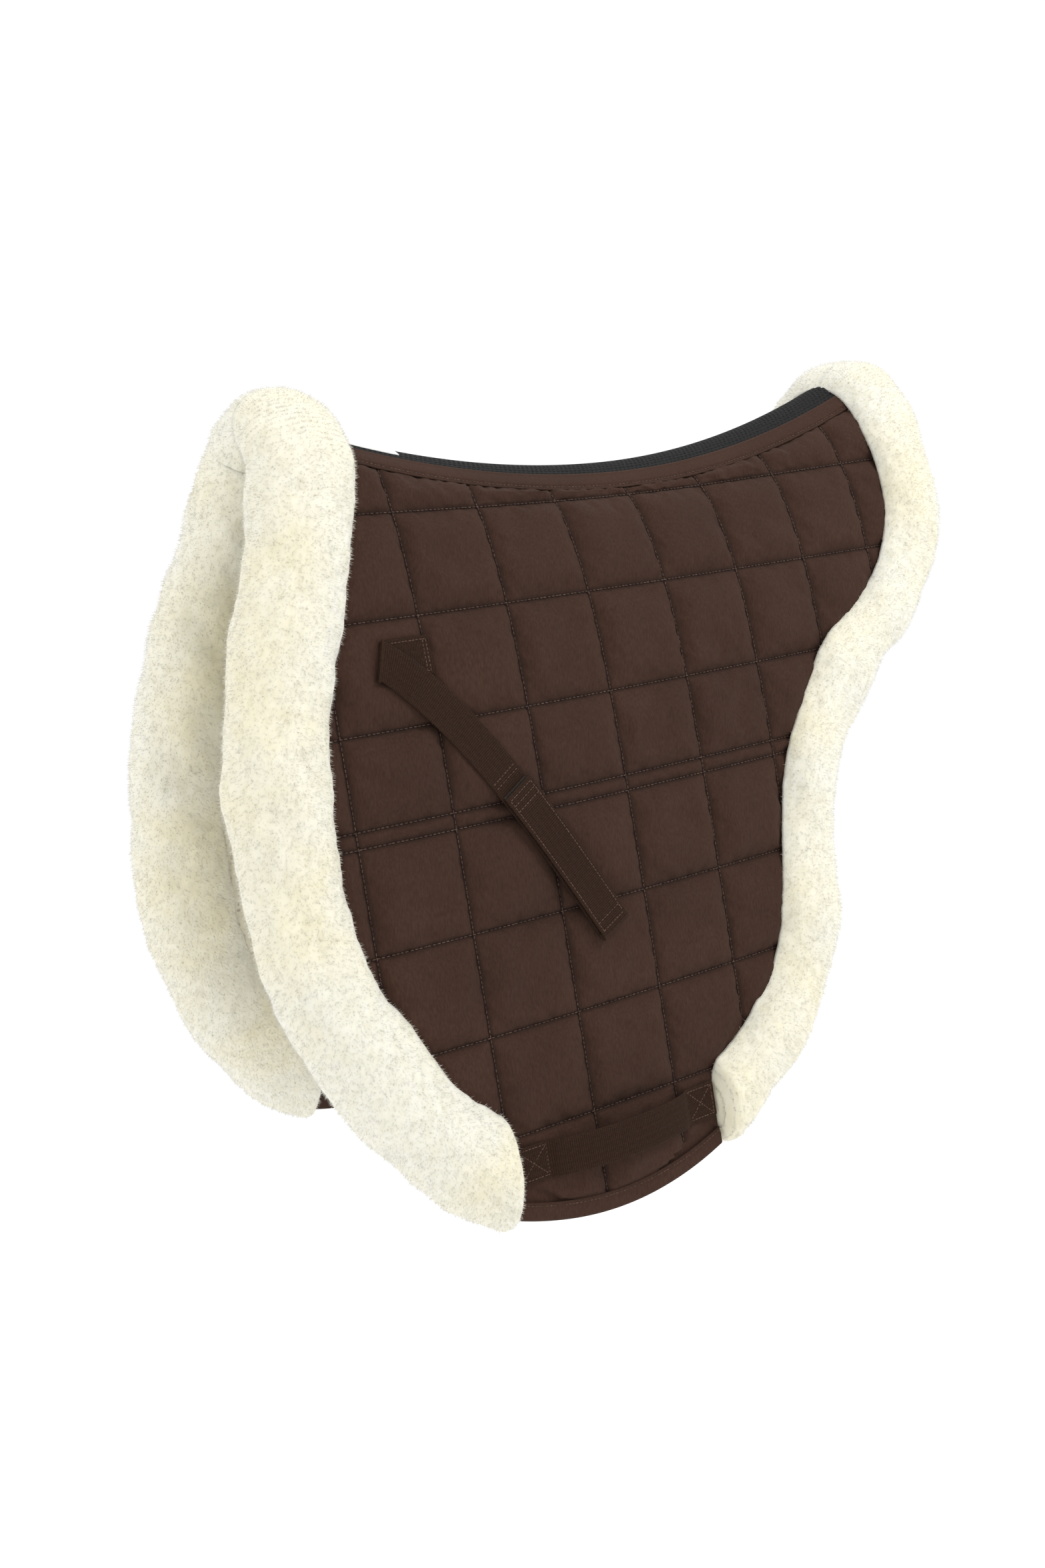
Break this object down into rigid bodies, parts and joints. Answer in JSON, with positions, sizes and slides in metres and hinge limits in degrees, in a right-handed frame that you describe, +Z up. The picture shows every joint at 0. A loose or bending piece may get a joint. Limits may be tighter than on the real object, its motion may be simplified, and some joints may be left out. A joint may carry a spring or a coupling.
{
  "type": "saddle pad",
  "caption": "Quilted saddle pad with fleece rolls round its front and rear edges, a mesh spine strip, webbing girth loops and hook-and-loop saddle straps.",
  "frame": {"origin": "underside of the spine strip at the lowest point of the topline, on the pad's middle plane", "axes": "+X runs along the pad towards the horse's loins, the left flap is on the -Y side, +Z is up"},
  "size_m": [0.6572, 0.3232, 0.5551],
  "materials": {
    "brown_cotton": "matt fine weave",
    "fleece": "soft deep pile",
    "lining_fleece": "short pile",
    "panel_cotton": "smooth quilted cotton",
    "spacer_mesh": "open spacer knit",
    "webbing": "ribbed woven tape",
    "hook_and_loop": "hook and loop tape",
    "wadding": "soft polyester fill",
    "label_cloth": "plain woven label"
  },
  "bodies": {
    "spine": {"spine_mesh": "spacer_mesh", "left_spine_binding": "brown_cotton", "right_spine_binding": "brown_cotton", "spine_label": "label_cloth", "front_crown_cover": "fleece", "front_crown_core": "wadding", "rear_crown_cover": "fleece", "rear_crown_core": "wadding"},
    "left_flap": {"left_shell": "brown_cotton", "left_wadding": "wadding", "left_lining": "lining_fleece", "left_wear_panel": "panel_cotton", "left_front_roll_cover": "fleece", "left_front_roll_core": "wadding", "left_rear_roll_cover": "fleece", "left_rear_roll_core": "wadding", "left_bottom_binding": "brown_cotton", "left_girth_loop": "webbing", "left_strap_root": "webbing"},
    "left_strap": {"left_billet_strap": "webbing", "left_loop_tape": "hook_and_loop"},
    "left_tab": {"left_closure_tab": "webbing", "left_hook_tape": "hook_and_loop"},
    "right_flap": {"right_shell": "brown_cotton", "right_wadding": "wadding", "right_lining": "lining_fleece", "right_wear_panel": "panel_cotton", "right_front_roll_cover": "fleece", "right_front_roll_core": "wadding", "right_rear_roll_cover": "fleece", "right_rear_roll_core": "wadding", "right_bottom_binding": "brown_cotton", "right_girth_loop": "webbing", "right_strap_root": "webbing"},
    "right_strap": {"right_billet_strap": "webbing", "right_loop_tape": "hook_and_loop"},
    "right_tab": {"right_closure_tab": "webbing", "right_hook_tape": "hook_and_loop"}
  },
  "joints": [
    {"name": "left_flap_swing", "type": "hinge", "parent": "spine", "child": "left_flap", "pos_m": [0, -0.03, 0.0115], "axis": [-1, 0, 0], "range_deg": [-8, 20]},
    {"name": "left_strap_lift", "type": "hinge", "parent": "left_flap", "child": "left_strap", "pos_m": [-0.25191, -0.07252, -0.09497], "axis": [-0.2739, -0.1689, -0.9468], "range_deg": [0, 110]},
    {"name": "left_tab_peel", "type": "hinge", "parent": "left_strap", "child": "left_tab", "pos_m": [-0.11154, -0.12048, -0.29054], "axis": [0.8855, 0.0193, 0.4643], "range_deg": [0, 150]},
    {"name": "right_flap_swing", "type": "hinge", "parent": "spine", "child": "right_flap", "pos_m": [0, 0.03, 0.0115], "axis": [1, 0, 0], "range_deg": [-8, 20]},
    {"name": "right_strap_lift", "type": "hinge", "parent": "right_flap", "child": "right_strap", "pos_m": [-0.25191, 0.07252, -0.09497], "axis": [0.2739, -0.1689, 0.9468], "range_deg": [0, 110]},
    {"name": "right_tab_peel", "type": "hinge", "parent": "right_strap", "child": "right_tab", "pos_m": [-0.11154, 0.12048, -0.29054], "axis": [-0.8855, 0.0193, -0.4643], "range_deg": [0, 150]}
  ]
}
